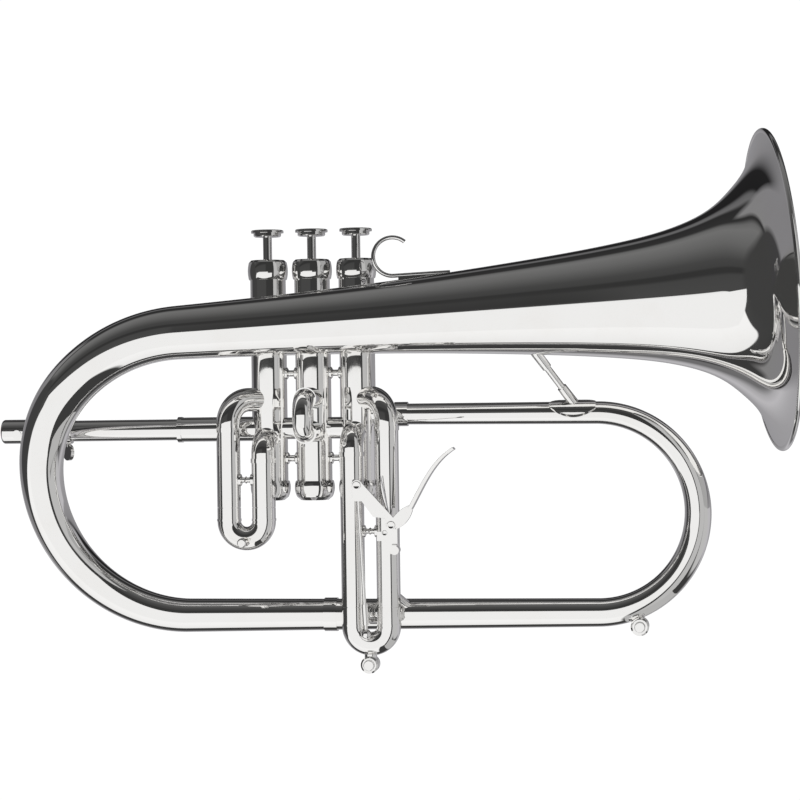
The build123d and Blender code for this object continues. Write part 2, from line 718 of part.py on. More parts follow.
def make_push_rod():
    """Rod from the trigger's arm to the slide, with its eye, headed pin, adjuster and ball end."""
    top = Vector(ARM_X, ROD_Y, ARM_Z)
    foot = Vector(ROD_END_X, ROD_Y, ROD_END_Z)
    along = (foot - top).normalized()
    with BuildPart() as rod:
        with BuildSketch(Plane(origin=top, z_dir=along)):
            Circle(ROD_R)
        extrude(amount=(foot - top).length)
        with BuildSketch(Plane(origin=foot - along * 16.0, z_dir=along)):
            Circle(ADJUSTER_R)
        extrude(amount=11.0)
        with BuildSketch(Plane(origin=top, z_dir=(0, 1, 0))):
            Circle(ROD_EYE_OUTER_R)
        extrude(amount=ROD_EYE_HALF, both=True)
        with BuildSketch(Plane(origin=top, z_dir=(0, -1, 0))):
            Circle(PIVOT_PIN_R)
        extrude(amount=ROD_Y - TRIGGER_FRONT_Y + SCREW_GAP + SCREW_HEAD_THICK / 2)
        with BuildSketch(Plane(origin=(ARM_X, TRIGGER_FRONT_Y - SCREW_GAP, ARM_Z), z_dir=(0, -1, 0))):
            Circle(SCREW_HEAD_R)
        extrude(amount=SCREW_HEAD_THICK)
        with BuildSketch(Plane(origin=(ARM_X, TRIGGER_FRONT_Y - SCREW_GAP - SCREW_HEAD_THICK, ARM_Z),
                               x_dir=PIN_SLOT_DIRECTION, z_dir=(0, 1, 0))):
            Rectangle(*SCREW_SLOT)
        extrude(amount=SCREW_SLOT_DEPTH, mode=Mode.SUBTRACT)
        with Locations(foot):
            Sphere(ROD_BALL_R)
        with BuildSketch(Plane(origin=foot - Vector(0, 1.2, 0), z_dir=(0, 1, 0))):
            Circle(ROD_EYE_R)
        extrude(amount=ROD_BALL_R + 2.0, mode=Mode.SUBTRACT)
    return rod


# ---------------------------------------------------------------- the parts

os.makedirs("parts", exist_ok=True)
STATIONS = bow_stations()
LEFT, RIGHT, FRONT = (-1, 0, 0), (1, 0, 0), (0, -1, 0)
SLIDE_1_LEFT, SLIDE_1_RIGHT = SLIDE_1_X - LEG_GAP / 2, SLIDE_1_X + LEG_GAP / 2
SLIDE_3_LEFT, SLIDE_3_RIGHT = SLIDE_3_X - LEG_GAP / 2, SLIDE_3_X + LEG_GAP / 2
VALVE_XS = (-VALVE_PITCH, 0.0, VALVE_PITCH)
PORTS = (
    [(LEADPIPE_Z, LEFT), (LEADPIPE_Z, RIGHT), (UPPER_PORT_Z, (SLIDE_1_LEFT + VALVE_PITCH, SLIDE_Y, 0)),
     (SLIDE_1_LOWER_Z, (SLIDE_1_RIGHT + VALVE_PITCH, SLIDE_Y, 0))],
    [(LEADPIPE_Z, LEFT), (LEADPIPE_Z, RIGHT), (UPPER_PORT_Z, FRONT), (SLIDE_2_LOWER_Z, FRONT)],
    [(LEADPIPE_Z, LEFT), (EXIT_Z, RIGHT), (UPPER_PORT_Z, (SLIDE_3_RIGHT - VALVE_PITCH, SLIDE_Y, 0)),
     (SLIDE_3_LOWER_Z, (SLIDE_3_LEFT - VALVE_PITCH, SLIDE_Y, 0))],
)

for number, (valve_x, ports) in enumerate(zip(VALVE_XS, PORTS), start=1):
    save(make_casing(valve_x, ports), f"casing_{number}")
    save(make_top_cap(valve_x), f"top_cap_{number}")
    save(make_bottom_cap(valve_x), f"bottom_cap_{number}")
    save(make_piston(valve_x), f"piston_{number}")
    save(make_stem(valve_x), f"stem_{number}")
    save(make_button(valve_x), f"button_{number}")
    save(make_spring(valve_x), f"spring_{number}")

with BuildPart() as cap_felts:
    with BuildSketch(Plane.XY.offset(FELT_LOW)):
        with Locations(*[(valve_x, 0) for valve_x in VALVE_XS]):
            Circle(FELT_R)
            Circle(STEM_R + 0.4, mode=Mode.SUBTRACT)
    extrude(amount=TOP_CAP_ROOF - FELT_LOW)
save(cap_felts, "cap_felts")

bell = make_bell()
save(bell, "bell")
save(make_bell_rim(), "bell_rim")
bell_bow = make_bell_bow()
save(bell_bow, "bell_bow")

# Filled shapes of the bell and its bow, to cut braces that sit on them
with BuildPart() as bell_core:
    with BuildSketch(Plane(origin=BELL_MOUTH, x_dir=-BELL_DIRECTION,
                           z_dir=BELL_DIRECTION.cross(Vector(0, 0, 1)))):
        with BuildLine():
            Spline(*BELL_OUTLINE)
            Polyline(BELL_OUTLINE[-1], (BELL_LENGTH, 0), (BELL_OUTLINE[0][0], 0), BELL_OUTLINE[0])
        make_face()
    revolve(axis=Axis(BELL_MOUTH, BELL_DIRECTION))
bow_core = tapered_rod(*bow_sections())

middle_x = (FERRULE_LEFT_X + FERRULE_RIGHT_X) / 2
bottom_tube = cone_tube((middle_x, 0, bottom_z(middle_x)), (BOW_X, 0, BOW_BOTTOM_Z),
                        TUBE_AT_FERRULE_R, BOW_OUT_R)
save(bottom_tube, "bottom_tube")
save(tapered_tube(*right_bow_sections(), TUBE_WALL), "right_bow")
exit_x = (EXIT_LEFT_X + EXIT_RIGHT_X) / 2
upper_tube = cone_tube((exit_x, 0, upper_z(exit_x)), (BOW_X, 0, BOW_TOP_Z), UPPER_TUBE_R, BOW_IN_R)
save(upper_tube, "upper_tube")

with BuildPart() as bow_ferrule:
    with BuildSketch(Plane(origin=(FERRULE_LEFT_X, 0, bottom_z(middle_x)), z_dir=RIGHT)):
        Circle(FERRULE_R)
        Circle(TUBE_AT_FERRULE_R - 0.25, mode=Mode.SUBTRACT)
    extrude(amount=FERRULE_RIGHT_X - FERRULE_LEFT_X)
    add(bell_bow.part, mode=Mode.SUBTRACT)
    add(bottom_tube.part, mode=Mode.SUBTRACT)
save(bow_ferrule, "bow_ferrule")

slide_3_outer_right = make_outer_leg(VALVE_PITCH, UPPER_PORT_Z, SLIDE_3_RIGHT, UPPER_BEND, SLIDE_3_LEG_END)
save(slide_3_outer_right, "slide_3_outer_right")

with BuildPart() as port_tubes:
    for start_x, end_x, level, radius in ((-VALVE_PITCH, 0, LEADPIPE_Z, 5.9),
                                          (0, VALVE_PITCH, LEADPIPE_Z, 5.9),
                                          (VALVE_PITCH, exit_x, EXIT_Z, UPPER_TUBE_R)):
        with BuildSketch(Plane(origin=(start_x, 0, level), z_dir=RIGHT)):
            Circle(radius)
            Circle(UPPER_TUBE_R - TUBE_WALL, mode=Mode.SUBTRACT)
        extrude(amount=end_x - start_x)
    with BuildSketch(Plane.XY.offset(-CASING_HALF)):
        with Locations(*[(valve_x, 0) for valve_x in VALVE_XS]):
            Circle(CASING_R)
    extrude(amount=2 * CASING_HALF, mode=Mode.SUBTRACT)
    add(slide_3_outer_right.part, mode=Mode.SUBTRACT)
save(port_tubes, "port_tubes")

with BuildPart() as exit_ferrule:
    with BuildSketch(Plane(origin=(EXIT_LEFT_X, 0, upper_z(exit_x)), z_dir=RIGHT)):
        Circle(EXIT_FERRULE_R)
        Circle(UPPER_TUBE_R - 0.25, mode=Mode.SUBTRACT)
    extrude(amount=EXIT_RIGHT_X - EXIT_LEFT_X)
    add(port_tubes.part, mode=Mode.SUBTRACT)
    add(upper_tube.part, mode=Mode.SUBTRACT)
save(exit_ferrule, "exit_ferrule")

with BuildPart() as leadpipe_sleeve:
    for first_x, last_x, radius in ((SLEEVE_LEFT_X, -VALVE_PITCH, SLEEVE_R),
                                    (SLEEVE_LEFT_X, SLEEVE_LEFT_X + FERRULE_LENGTH, SLEEVE_R + 0.35)):
        with BuildSketch(Plane(origin=(first_x, 0, LEADPIPE_Z), z_dir=RIGHT)):
            Circle(radius)
            Circle(SLEEVE_BORE, mode=Mode.SUBTRACT)
        extrude(amount=last_x - first_x)
    with BuildSketch(Plane.XY.offset(-CASING_HALF)):
        with Locations((-VALVE_PITCH, 0)):
            Circle(CASING_R)
    extrude(amount=2 * CASING_HALF, mode=Mode.SUBTRACT)
save(leadpipe_sleeve, "leadpipe_sleeve")

save(bar((PIPE_LEFT_X, 0, LEADPIPE_Z), (PIPE_RIGHT_X, 0, LEADPIPE_Z), PIPE_R, PIPE_BORE), "leadpipe")

with BuildPart() as mouthpiece_receiver:
    with BuildSketch(Plane(origin=(RECEIVER_LEFT_X, 0, LEADPIPE_Z), z_dir=RIGHT)):
        Circle(SLEEVE_R)
    extrude(amount=RECEIVER_RIGHT_X - RECEIVER_LEFT_X)
    fillet(mouthpiece_receiver.edges().group_by(Axis.X)[0], radius=1.6)
    with BuildSketch(Plane(origin=(RECEIVER_LEFT_X, 0, LEADPIPE_Z), z_dir=RIGHT)):
        Circle(RECEIVER_BORE)
    extrude(amount=PIPE_LEFT_X - RECEIVER_LEFT_X, mode=Mode.SUBTRACT)
    with BuildSketch(Plane(origin=(PIPE_LEFT_X, 0, LEADPIPE_Z), z_dir=RIGHT)):
        Circle(PIPE_R)
    extrude(amount=RECEIVER_RIGHT_X - PIPE_LEFT_X, mode=Mode.SUBTRACT)
    with BuildSketch(Plane(origin=(BOSS_X, -SLEEVE_R - BOSS_OUT, BOSS_Z), z_dir=(0, 1, 0))):
        Circle(BOSS_R)
    extrude(amount=BOSS_DEPTH)
save(mouthpiece_receiver, "mouthpiece_receiver")

with BuildPart() as leadpipe_clamp:
    with BuildSketch(Plane(origin=(CLAMP_X - CLAMP_WIDTH / 2, 0, LEADPIPE_Z), z_dir=RIGHT)):
        Circle(CLAMP_R)
    extrude(amount=CLAMP_WIDTH)
    with BuildSketch(Plane(origin=(CLAMP_X, 0, LEADPIPE_Z), z_dir=(-0.1, -1, 0))):
        Circle(3.2)
    extrude(amount=24.0)
    add(bow_core.part, mode=Mode.SUBTRACT)
    with BuildSketch(Plane(origin=(CLAMP_X - CLAMP_WIDTH, 0, LEADPIPE_Z), z_dir=RIGHT)):
        Circle(SLEEVE_BORE)
    extrude(amount=2 * CLAMP_WIDTH, mode=Mode.SUBTRACT)
    with BuildSketch(Plane.XY.offset(LEADPIPE_Z)):
        with Locations((CLAMP_X, 0)):
            Circle(CLAMP_SCREW_R + 0.05)
    extrude(amount=-2 * CLAMP_R, mode=Mode.SUBTRACT)
save(leadpipe_clamp, "leadpipe_clamp")

with BuildPart() as thumb_screw:
    with BuildSketch(Plane.XY.offset(THUMB_SCREW_TIP_Z)):
        with Locations((CLAMP_X, 0)):
            Circle(CLAMP_SCREW_R)
    extrude(amount=THUMB_Z + THUMB_GRIP - THUMB_SCREW_TIP_Z)
    paddle = Plane(origin=(CLAMP_X, 0, THUMB_Z), x_dir=(1, -1, 0), z_dir=(-1, -1, 0))
    with BuildSketch(paddle.offset(-THUMB_THICK / 2)):
        Circle(THUMB_R)
    extrude(amount=THUMB_THICK)
save(thumb_screw, "thumb_screw")

with BuildPart() as block_braces:
    gap = VALVE_PITCH / 2
    for level in (4.4, -41.8):
        for brace_x in (-gap, gap):
            spool = [(-gap, 0), (-gap, 3.6), (-2.0, 3.2), (-1.2, 1.7), (1.2, 1.7), (2.0, 3.2), (gap, 3.6),
                     (gap, 0)]
            with BuildSketch(Plane(origin=(brace_x, 0, level), x_dir=(1, 0, 0), z_dir=FRONT)):
                with BuildLine():
                    Polyline(*spool, close=True)
                make_face()
            revolve(axis=Axis((brace_x, 0, level), (1, 0, 0)))
    for saddle_x, level in ((0, 28.0), (VALVE_PITCH, 31.0)):
        with BuildSketch(Plane(origin=(saddle_x, 0, level), z_dir=FRONT)):
            Circle(4.6)
        extrude(amount=24.0)
    with BuildSketch(Plane.XY.offset(-CASING_HALF)):
        with Locations(*[(valve_x, 0) for valve_x in VALVE_XS]):
            Circle(CASING_R)
    extrude(amount=2 * CASING_HALF, mode=Mode.SUBTRACT)
    add(bell_core.part, mode=Mode.SUBTRACT)
save(block_braces, "block_braces")

save(make_outer_leg(-VALVE_PITCH, UPPER_PORT_Z, SLIDE_1_LEFT, UPPER_BEND, SLIDE_1_LEG_END),
     "slide_1_outer_left")
save(make_outer_leg(-VALVE_PITCH, SLIDE_1_LOWER_Z, SLIDE_1_RIGHT, LOWER_BEND, SLIDE_1_LEG_END),
     "slide_1_outer_right")
save(make_outer_leg(VALVE_PITCH, SLIDE_3_LOWER_Z, SLIDE_3_LEFT, LOWER_BEND, SLIDE_3_LEG_END),
     "slide_3_outer_left")
save(make_slide_stay(SLIDE_1_X, SLIDE_1_STAY_Z), "slide_1_stay")
save(make_slide_stay(SLIDE_3_X, SLIDE_3_STAY_Z), "slide_3_stay")
save(make_slide_2_outer(), "slide_2_outer")
save(make_slide_2_bow(), "slide_2_bow")
slide_1_bow = make_slide_bow(SLIDE_1_X, SLIDE_1_LEG_END, SLIDE_1_BOW_Z, SLIDE_1_INNER_TOP)
save(slide_1_bow, "slide_1_bow")

slide_1_filling = make_bow_filling(SLIDE_1_X, SLIDE_1_BOW_Z)
with BuildPart() as slide_1_knob:
    knob_z = SLIDE_1_BOW_Z - LEG_GAP / 2 - 1.5
    with BuildSketch(Plane(origin=(SLIDE_1_X, SLIDE_Y, knob_z), z_dir=FRONT)):
        Circle(1.5)
    extrude(amount=SLIDE_R + 9.0)
    with BuildSketch(Plane(origin=(SLIDE_1_X, SLIDE_Y, knob_z), z_dir=FRONT)):
        Circle(2.6)
    extrude(amount=SLIDE_R + 0.8)
    with BuildSketch(Plane(origin=(SLIDE_1_X, SLIDE_Y - SLIDE_R - 6.0, knob_z), z_dir=FRONT)):
        Circle(2.5)
    extrude(amount=4.0)
    fillet(slide_1_knob.edges().group_by(Axis.Y)[0], radius=0.9)
    add(slide_1_filling.part, mode=Mode.SUBTRACT)
save(slide_1_knob, "slide_1_knob")

slide_3_bow = make_slide_bow(SLIDE_3_X, SLIDE_3_LEG_END, SLIDE_3_BOW_Z, SLIDE_3_INNER_TOP)
with BuildPart() as slide_3_moving:
    add(slide_3_bow.part)
    with BuildSketch(Plane(origin=(ROD_END_X, ROD_Y + 0.1, ROD_END_Z), z_dir=(0, 1, 0))):
        Circle(ROD_STUD_R)
    extrude(amount=SLIDE_Y - ROD_Y - 1.0)
save(slide_3_moving, "slide_3_bow")

with BuildPart() as slide_3_foot:
    with BuildSketch(Plane(origin=(SLIDE_3_RIGHT + 3, SLIDE_Y + 2, FOOT_TOP_Z), z_dir=FOOT_DIRECTION)):
        Circle(FOOT_R)
    extrude(amount=FOOT_LENGTH)
    with BuildSketch(Plane.XY.offset(SLIDE_3_LEG_END - 5)):
        with Locations((SLIDE_3_RIGHT, SLIDE_Y)):
            Circle(SLIDE_R)
    extrude(amount=20, mode=Mode.SUBTRACT)
    with BuildSketch(Plane(origin=(middle_x, 0, bottom_z(middle_x)), x_dir=(0, 1, 0), z_dir=RIGHT)):
        Circle(TUBE_AT_FERRULE_R)
    with BuildSketch(Plane(origin=(BOW_X, 0, BOW_BOTTOM_Z), x_dir=(0, 1, 0), z_dir=RIGHT)):
        Circle(BOW_OUT_R)
    loft(mode=Mode.SUBTRACT)
save(slide_3_foot, "slide_3_foot")

save(make_key_body(SLIDE_KEY, SLIDE_KEY_R, Vector(SLIDE_3_X - 0.3, SLIDE_Y, SLIDE_3_BOW_Z - LEG_GAP / 2),
                   make_bow_filling(SLIDE_3_X, SLIDE_3_BOW_Z)),
     "slide_3_key_body")
save(make_key_button(SLIDE_KEY), "slide_3_key_button")
save(make_key_body(BOW_KEY, BOW_KEY_R, BOW_KEY_NECK, tapered_rod(*right_bow_sections())), "bow_key_body")
save(make_key_button(BOW_KEY), "bow_key_button")
save(make_trigger_lever(), "trigger_lever")
save(make_push_rod(), "push_rod")

with BuildPart() as trigger_bracket:
    plate = Plane(origin=(0, SLIDE_Y, 0), x_dir=(1, 0, 0), z_dir=FRONT)
    with BuildSketch(plate):
        with Locations((PIVOT_X, PIVOT_Z - BRACKET_LENGTH / 2)):
            Rectangle(BRACKET_WIDTH, BRACKET_LENGTH)
        with Locations((PIVOT_X, PIVOT_Z)):
            Circle(BRACKET_WIDTH / 2)
        with Locations((PIVOT_X - BRACKET_ARM_X, PIVOT_Z - BRACKET_ARM_Z)):
            Rectangle(BRACKET_WIDTH, BRACKET_ARM_TALL)
    extrude(amount=SLIDE_Y - BRACKET_FRONT_Y)
    with BuildSketch(plate):
        with Locations((PIVOT_X + HOOK_TAB_R / 2, PIVOT_Z - HOOK_TAB_Z)):
            Circle(HOOK_TAB_R)
        with Locations((PIVOT_X, PIVOT_Z - HOOK_TAB_Z + HOOK_TAB_R / 2)):
            Rectangle(2 * HOOK_TAB_R, HOOK_TAB_TALL)
        with Locations((PIVOT_X - HOOK_TAB_R / 2, PIVOT_Z - HOOK_TAB_NECK_Z)):
            Rectangle(HOOK_TAB_R, HOOK_TAB_TALL)
    extrude(amount=SLIDE_Y - BRACKET_FRONT_Y - 0.6)
    with BuildSketch(Plane.XY.offset(PIVOT_Z - 20)):
        with Locations((SLIDE_3_RIGHT, SLIDE_Y)):
            Circle(SLIDE_R)
    extrude(amount=30, mode=Mode.SUBTRACT)
    with BuildSketch(Plane(origin=(PIVOT_X, BRACKET_FRONT_Y, PIVOT_Z), z_dir=(0, 1, 0))):
        Circle(PIVOT_PIN_R)
    extrude(amount=PIN_DEPTH, mode=Mode.SUBTRACT)
save(trigger_bracket, "trigger_bracket")

with BuildPart() as pivot_screw:
    head_y = TRIGGER_FRONT_Y - SCREW_GAP
    with BuildSketch(Plane(origin=(PIVOT_X, head_y, PIVOT_Z), z_dir=(0, 1, 0))):
        Circle(PIVOT_PIN_R)
    extrude(amount=BRACKET_FRONT_Y - head_y + PIN_DEPTH)
    with BuildSketch(Plane(origin=(PIVOT_X, head_y, PIVOT_Z), z_dir=FRONT)):
        Circle(SCREW_HEAD_R)
    extrude(amount=SCREW_HEAD_THICK)
    with BuildSketch(Plane(origin=(PIVOT_X, head_y - SCREW_HEAD_THICK, PIVOT_Z), z_dir=(0, 1, 0))):
        Rectangle(*SCREW_SLOT)
    extrude(amount=SCREW_SLOT_DEPTH, mode=Mode.SUBTRACT)
save(pivot_screw, "pivot_screw")

save(bar((PIVOT_X - WIRE_TOP_X, TRIGGER_SPRING_Y, PIVOT_Z + WIRE_TOP_Z),
         (PIVOT_X - WIRE_FOOT_X, TRIGGER_SPRING_Y, PIVOT_Z + WIRE_FOOT_Z), TRIGGER_WIRE_R), "trigger_spring")

hook_place = bell_point(HOOK_X)
hook_plane = Plane(origin=(HOOK_X, hook_place.Y, HOOK_Z), x_dir=(1, BELL_SLOPE_Y, 0),
                   z_dir=(BELL_SLOPE_Y, -1, 0))
with BuildPart() as finger_hook:
    with BuildLine(hook_plane) as route:
        ring = CenterArc((0, 0), HOOK_R, HOOK_TIP_ANGLE, HOOK_FOOT_ANGLE - HOOK_TIP_ANGLE)
        Line(ring @ 1, (ring @ 1) + (ring % 1) * HOOK_FOOT_LENGTH)
    with BuildSketch(Plane(origin=route.line @ 0, z_dir=route.line % 0)):
        Circle(HOOK_WIRE_R)
    sweep()
    with BuildSketch(hook_plane):
        with Locations((HOOK_FOOT_LENGTH / 2, -HOOK_R - HOOK_WEB_TALL / 2)):
            Rectangle(HOOK_WEB_LENGTH, HOOK_WEB_TALL)
    extrude(amount=HOOK_WEB_HALF, both=True)
    add(bell_core.part, mode=Mode.SUBTRACT)
save(finger_hook, "finger_hook")

with BuildPart() as stay_saddle:
    with BuildSketch(Plane(origin=(exit_x, 0, upper_z(exit_x)), x_dir=(0, 1, 0), z_dir=RIGHT)):
        Circle(UPPER_TUBE_R + SADDLE_THICK)
    with BuildSketch(Plane(origin=(BOW_X, 0, BOW_TOP_Z), x_dir=(0, 1, 0), z_dir=RIGHT)):
        Circle(BOW_IN_R + SADDLE_THICK)
    loft()
    with BuildSketch(Plane(origin=(STAY_TUBE.X, 0, BOW_TOP_Z), x_dir=RIGHT, z_dir=SADDLE_DIRECTION)):
        Ellipse(*SADDLE_HALF)
    extrude(amount=2 * BOW_IN_R, mode=Mode.INTERSECT)

with BuildPart() as bell_stay:
    add(stay_saddle.part)
    along = (STAY_TUBE - STAY_BELL).normalized()
    for end, direction in ((STAY_BELL, along), (STAY_TUBE, -along)):
        with BuildSketch(Plane(origin=end - direction * 4.0, z_dir=direction)):
            Circle(STAY_SOCKET_R)
        with BuildSketch(Plane(origin=end + direction * STAY_SOCKET_LENGTH, z_dir=direction)):
            Circle(STAY_SOCKET_TIP_R)
        loft()
    with BuildSketch(Plane(origin=STAY_BELL, z_dir=along)):
        Circle(STAY_ROD_R)
    extrude(amount=(STAY_TUBE - STAY_BELL).length)
    add(bell_core.part, mode=Mode.SUBTRACT)
    with BuildSketch(Plane(origin=(exit_x, 0, upper_z(exit_x)), x_dir=(0, 1, 0), z_dir=RIGHT)):
        Circle(UPPER_TUBE_R)
    with BuildSketch(Plane(origin=(BOW_X, 0, BOW_TOP_Z), x_dir=(0, 1, 0), z_dir=RIGHT)):
        Circle(BOW_IN_R)
    loft(mode=Mode.SUBTRACT)
save(bell_stay, "bell_stay")
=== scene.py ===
import json
import math

import bmesh
import bpy
import numpy as np
from mathutils import Matrix, Vector

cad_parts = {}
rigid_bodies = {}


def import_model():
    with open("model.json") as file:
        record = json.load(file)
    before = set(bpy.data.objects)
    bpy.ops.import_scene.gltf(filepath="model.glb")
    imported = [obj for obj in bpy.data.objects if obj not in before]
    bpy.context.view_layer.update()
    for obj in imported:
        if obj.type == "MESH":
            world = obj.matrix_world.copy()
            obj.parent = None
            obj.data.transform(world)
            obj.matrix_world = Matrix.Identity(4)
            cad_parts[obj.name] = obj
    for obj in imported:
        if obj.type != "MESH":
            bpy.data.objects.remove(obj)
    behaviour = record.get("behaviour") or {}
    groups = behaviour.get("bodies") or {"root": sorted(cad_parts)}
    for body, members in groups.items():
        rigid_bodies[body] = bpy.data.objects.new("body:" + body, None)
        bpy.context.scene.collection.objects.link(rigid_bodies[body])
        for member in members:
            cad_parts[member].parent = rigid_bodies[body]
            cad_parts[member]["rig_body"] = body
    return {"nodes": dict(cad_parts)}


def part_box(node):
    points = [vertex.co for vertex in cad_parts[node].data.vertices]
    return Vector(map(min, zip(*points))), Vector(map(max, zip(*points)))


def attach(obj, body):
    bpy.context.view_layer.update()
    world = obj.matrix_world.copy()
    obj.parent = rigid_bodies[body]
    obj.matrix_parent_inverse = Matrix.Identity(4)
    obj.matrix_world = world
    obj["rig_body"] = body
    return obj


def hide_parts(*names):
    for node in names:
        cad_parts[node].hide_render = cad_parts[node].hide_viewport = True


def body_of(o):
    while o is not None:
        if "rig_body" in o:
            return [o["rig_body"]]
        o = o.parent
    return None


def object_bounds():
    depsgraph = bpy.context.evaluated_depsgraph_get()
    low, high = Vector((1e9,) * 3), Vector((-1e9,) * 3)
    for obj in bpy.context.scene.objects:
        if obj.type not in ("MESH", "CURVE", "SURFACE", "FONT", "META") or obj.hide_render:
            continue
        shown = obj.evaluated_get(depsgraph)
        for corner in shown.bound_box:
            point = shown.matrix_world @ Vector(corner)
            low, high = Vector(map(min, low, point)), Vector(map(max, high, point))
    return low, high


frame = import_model()
cad_low, cad_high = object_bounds()

MM = 0.001

# ---------------------------------------------------------------- camera
CAMERA_PLACE = (201.6 * MM, -1256.8 * MM, -10.9 * MM)
CAMERA_YAW = math.radians(7.0)
CAMERA_ROLL = math.radians(-0.8)
CAMERA_LENS = 105.26
CAMERA_SENSOR = 36.0
CAMERA_NEAR = 0.05
CAMERA_FAR = 60.0

# ---------------------------------------------------------------- stage
FLOOR_DROP = 75 * MM
FLOOR_HALF = 30.0
FLOOR_WHITE = 1.04
# Flat reflector cards round the object, in millimetres: name, low corner, high corner, brightness.
# Only reflections see them.
CARDS = [
    ("white_card", (-720, -447, -600), (270, -447, 14), 0.88),
    ("grey_card", (296, -330, -600), (640, -330, 400), 0.50),
    ("low_card", (262, -330, -600), (600, 500, -600), 0.46),
]

# Light around the object by angle about the X axis: 0 is in front, 90 above, 180 behind, -90 below.
SKY_STOPS = [
    (-180.0, 0.30), (-166.0, 0.34), (-154.0, 0.50), (-146.0, 0.40), (-138.0, 0.15), (-129.0, 0.16),
    (-125.0, 0.045), (-112.0, 0.042), (-101.0, 0.045), (-90.0, 0.05), (5.0, 0.062), (22.0, 0.058),
    (27.0, 0.034), (34.0, 0.034), (37.0, 0.052), (48.0, 0.060), (60.0, 0.090), (76.0, 0.130),
    (97.0, 0.165), (104.0, 0.135), (110.0, 0.030), (126.0, 0.024), (131.0, 0.140), (136.0, 0.120),
    (141.0, 0.014), (158.0, 0.016), (165.0, 0.24), (180.0, 0.30),
]
# White panel in front and below: a rounded rectangle in angle and in latitude, which runs from -90 at
# the receiver's end to 90 at the bell's
PANEL_ANGLE = (-97.5, -1.2)
PANEL_LATITUDE = (-62.0, 100.0)
PANEL_CORNER = 24.0
PANEL_EDGE = 1.0
PANEL_WHITE = 0.93
PANEL_MIDDLE_ANGLE = -55.0
PANEL_FADE_ANGLE = 55.0
PANEL_FADE = 0.90
# Darker front above the panel, towards the bell's mouth
SHADE_LATITUDE = (-4.0, 0.0)
SHADE_ANGLE = (0.0, 2.0)
SHADE_TOP = (26.0, 34.0)
SHADE_GREY = 0.038
# Dark front beyond the panel's right end
GAP_LATITUDE = (9.0, 11.0)
GAP_TOP = (2.0, 3.0)
GAP_LOW = (-100.0, -97.0)
GAP_GREY = 0.045
# Grey end of the room at the bell's mouth
END_LATITUDE = (50.0, 55.0)
END_STEP = (1.0, 4.0)
END_GREY = 0.50
END_GREY_HIGH = 0.38
END_TOP = (150.0, 160.0)
# Left end of the room behind the object
LEFT_LATITUDE = (-46.0, -42.0)
LEFT_ANGLE = (112.0, 117.0)
LEFT_GREY = 0.22
FAR_LATITUDE = (-68.0, -64.0)
FAR_GREY = 0.05
BEHIND_ANGLE = (100.0, 150.0)
BEHIND_TINT = (1.0, 0.985, 1.03)

# ---------------------------------------------------------------- materials
# Noise: scale, detail, roughness
CLOUD_NOISE = (38.0, 4.0, 0.55)
SPECK_NOISE = (420.0, 2.0, 0.6)
SMUDGE_NOISE = (75.0, 5.0, 0.6)
HAIR_DETAIL = 2.0
HAIR_ROUGHNESS = 0.6
FIBRE_NOISE = (2600.0, 5.0, 0.7)
CLUMP_NOISE = (500.0, 3.0, 0.5)
# Noise values between which a mask rises from none to full
CLOUD_SPAN = (0.45, 0.80)
SPECK_SPAN = (0.66, 0.80)
SMUDGE_SPAN = (0.40, 0.75)
FIBRE_SPAN = (0.3, 0.7)
CLOUD_SHARE = 0.7
SMUDGE_SHARE = 0.75
FIBRE_SHARE = 0.6
FELT_ROUGH = (0.85, 1.0)
FELT_BUMP = 0.2 * MM

# ---------------------------------------------------------------- eased edges
WELD = 0.002 * MM
FLAT_ANGLE = math.radians(0.5)
EASE_ANGLE = math.radians(50.0)
EASE_SHARP_ANGLE = math.radians(20.0)
EASE_STEPS = 2
EASE_PROFILE = 0.5
# Width of the eased edge on each node
EASED = {"trigger_lever": 0.45 * MM, "trigger_bracket": 0.45 * MM, "pivot_screw": 0.30 * MM,
         "push_rod": 0.30 * MM, "thumb_screw": 0.40 * MM, "slide_1_knob": 0.30 * MM}

# ---------------------------------------------------------------- hollow screw heads, millimetres
SOCKET_SIDES = 48
# Distance out from the seat, and share of the radius
SOCKET_OUTLINE = [(-0.10, 1.00), (0.24, 1.00), (0.34, 0.93), (0.36, 0.80), (0.26, 0.66), (0.10, 0.46),
                  (0.04, 0.0)]
SCREW_R = 2.2
PIN_INSET = 0.1
SMALL_SCREW_PLACE = (41.2, -26.1, -81.4)
SMALL_SCREW_R = 1.5

# ---------------------------------------------------------------- wide tubing, in millimetres as in the CAD
SKIN_GAP = 0.02
SIDES = 224
SHARP_ANGLE = math.radians(40.0)
BELL_MOUTH = np.array((246.5, 0.46, 44.8))
BELL_SLOPE_Y = 0.1317
BELL_SLOPE_Z = 0.0587
BELL_DIRECTION = np.array((1.0, BELL_SLOPE_Y, BELL_SLOPE_Z)) / math.hypot(1.0, BELL_SLOPE_Y, BELL_SLOPE_Z)
BELL_TAIL_X = -65.6
BELL_LENGTH = (BELL_MOUTH[0] - BELL_TAIL_X) / BELL_DIRECTION[0]
BELL_TAIL_R = 14.25
BELL_WALL = 0.7
BELL_LIP_WALL = 0.63
BELL_LIP_DEPTH = 30.0
BELL_LIP_FADE = 12.0
# Distance back from the mouth, and radius there
BELL_OUTLINE = [(1.1, 83.4), (4.6, 73.6), (9.5, 64.3), (16.5, 56.2), (27.0, 47.0), (48.0, 37.4),
                (80.0, 30.8), (134.0, 24.7), (197.0, 19.6), (255.0, 16.4), (BELL_LENGTH, BELL_TAIL_R)]
BELL_ROWS = 260
